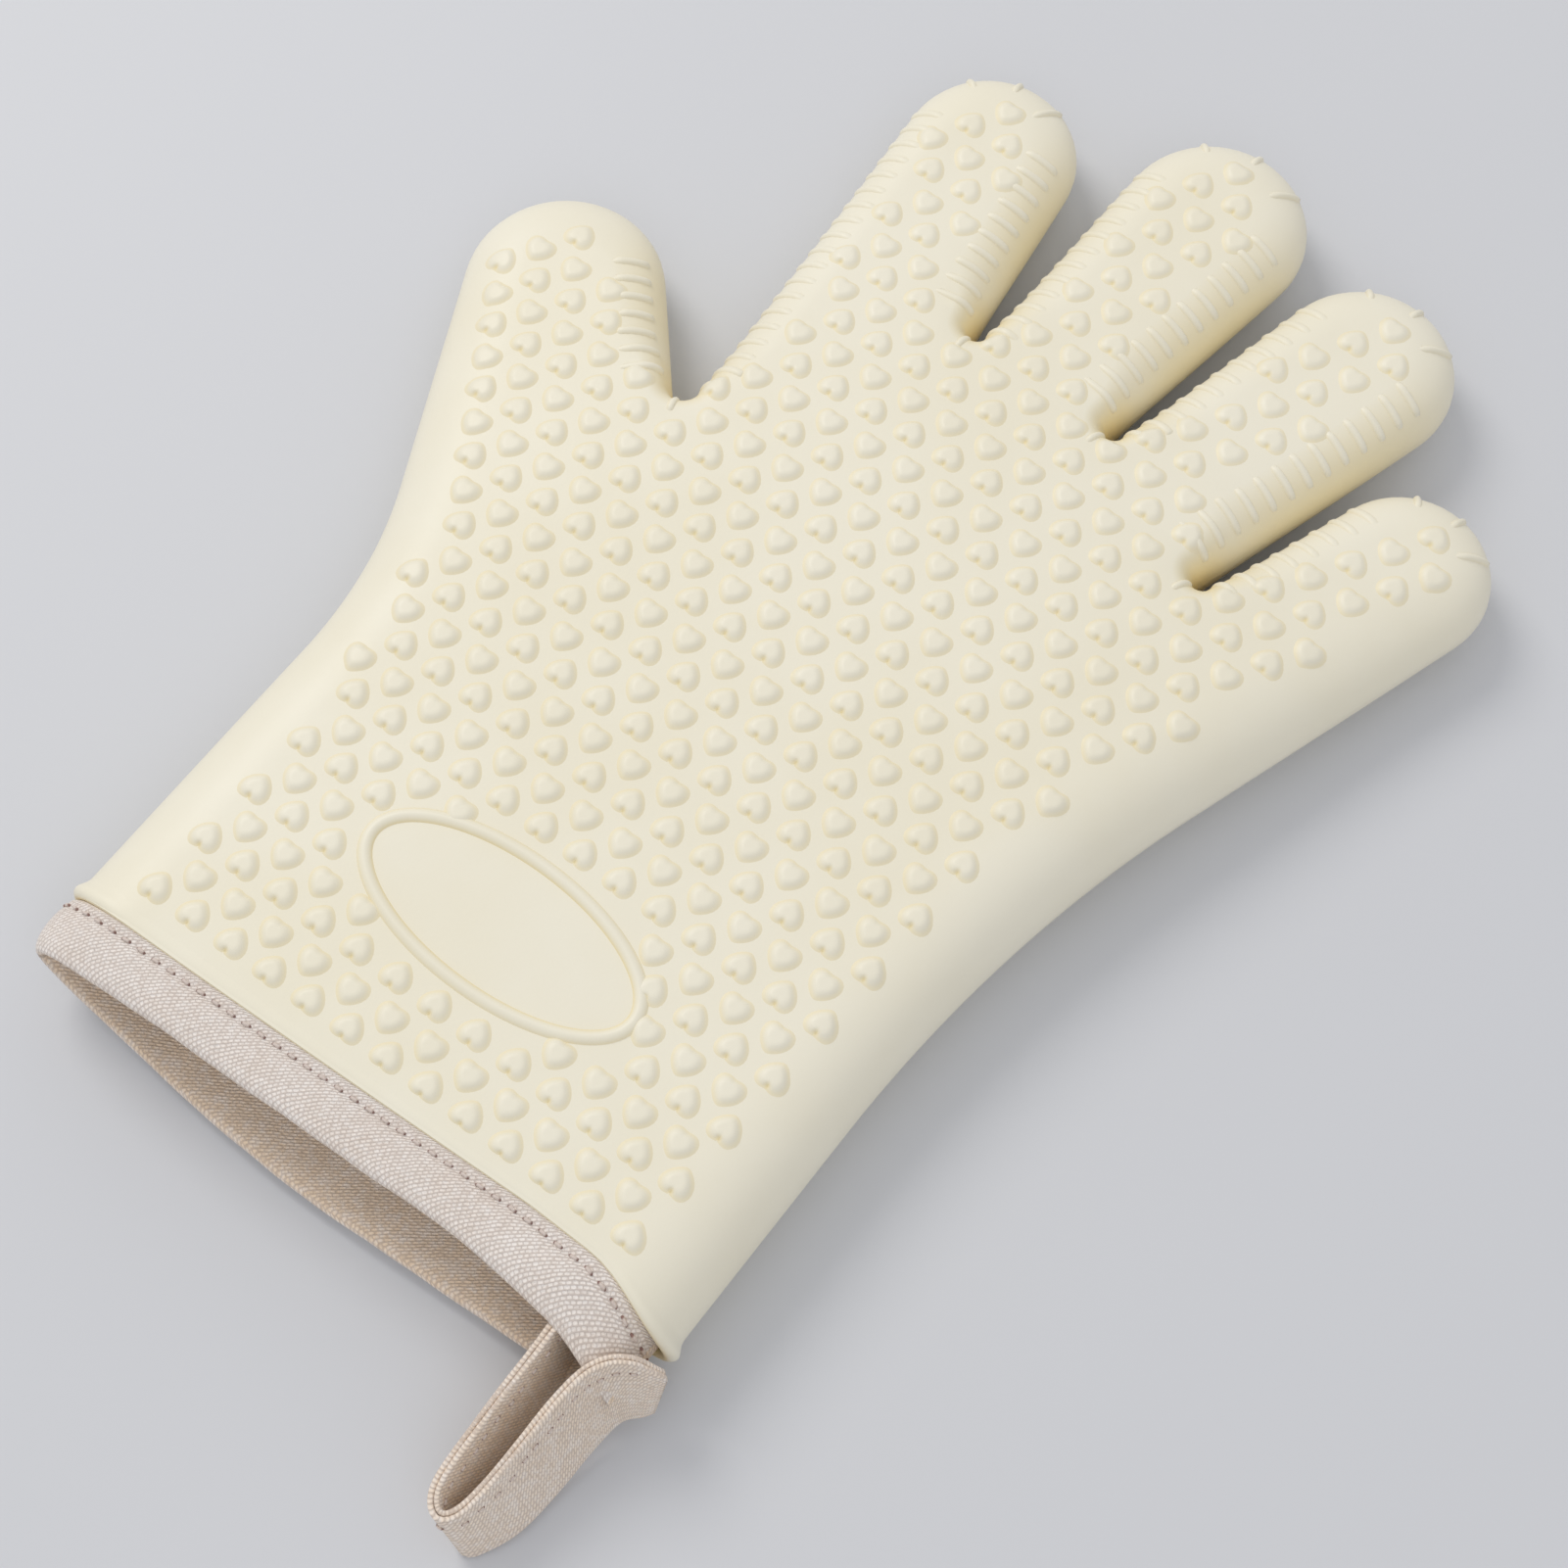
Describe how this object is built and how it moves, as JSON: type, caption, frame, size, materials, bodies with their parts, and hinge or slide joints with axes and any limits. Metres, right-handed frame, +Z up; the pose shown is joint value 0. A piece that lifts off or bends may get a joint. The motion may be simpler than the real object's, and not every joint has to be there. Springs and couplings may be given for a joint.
{
  "type": "oven mitt",
  "caption": "Five-finger silicone oven glove with a raised heart grip, cotton lining, sewn cotton cuff band and hanging loop",
  "frame": {"origin": "on the surface that the glove lies on, under the middle of the palm, 95 mm from the silicone edge at the cuff and midway between the cuff's sides", "axes": "+Y from the cuff towards the fingertips, +X across the hand from the thumb to the little finger, +Z up, out of the palm side"},
  "size_m": [0.2125, 0.3205, 0.0265],
  "materials": {
    "silicone": "satin moulded silicone, cream",
    "lining": "brushed cotton, natural",
    "cotton_twill": "unbleached cotton twill",
    "thread": "sewing thread, beige"
  },
  "bodies": {
    "hand": {"glove_hand": "silicone", "lining_palm_hand": "lining", "lining_back_hand": "lining", "cuff_band": "cotton_twill", "cuff_stitches": "thread", "loop_ends": "cotton_twill"},
    "thumb": {"glove_thumb": "silicone", "lining_palm_thumb": "lining", "lining_back_thumb": "lining"},
    "index": {"glove_index": "silicone", "lining_palm_index": "lining", "lining_back_index": "lining"},
    "middle": {"glove_middle": "silicone", "lining_palm_middle": "lining", "lining_back_middle": "lining"},
    "ring": {"glove_ring": "silicone", "lining_palm_ring": "lining", "lining_back_ring": "lining"},
    "little": {"glove_little": "silicone", "lining_palm_little": "lining", "lining_back_little": "lining"},
    "loop": {"hanging_loop": "cotton_twill", "loop_stitches": "thread"}
  },
  "joints": [
    {"name": "thumb_bend", "type": "hinge", "parent": "hand", "child": "thumb", "pos_m": [-0.07174, 0.04624, 0.0265], "axis": [0.8315, 0.5555, 0], "range_deg": [0, 45], "stiffness_Nm_per_rad": 0.06},
    {"name": "index_bend", "type": "hinge", "parent": "hand", "child": "index", "pos_m": [-0.0296, 0.10532, 0.0265], "axis": [0.9935, 0.1137, 0], "range_deg": [0, 70], "stiffness_Nm_per_rad": 0.06},
    {"name": "middle_bend", "type": "hinge", "parent": "hand", "child": "middle", "pos_m": [0.00904, 0.10747, 0.0265], "axis": [0.9965, -0.0834, 0], "range_deg": [0, 70], "stiffness_Nm_per_rad": 0.06},
    {"name": "ring_bend", "type": "hinge", "parent": "hand", "child": "ring", "pos_m": [0.04474, 0.10129, 0.0265], "axis": [0.9672, -0.2539, 0], "range_deg": [0, 70], "stiffness_Nm_per_rad": 0.06},
    {"name": "little_bend", "type": "hinge", "parent": "hand", "child": "little", "pos_m": [0.0783, 0.08267, 0.0265], "axis": [0.9473, -0.3203, 0], "range_deg": [0, 70], "stiffness_Nm_per_rad": 0.06},
    {"name": "loop_swing", "type": "hinge", "parent": "hand", "child": "loop", "pos_m": [0.061, -0.108, 0.01325], "axis": [0, 0, 1], "range_deg": [-25, 25], "stiffness_Nm_per_rad": 0.002}
  ]
}
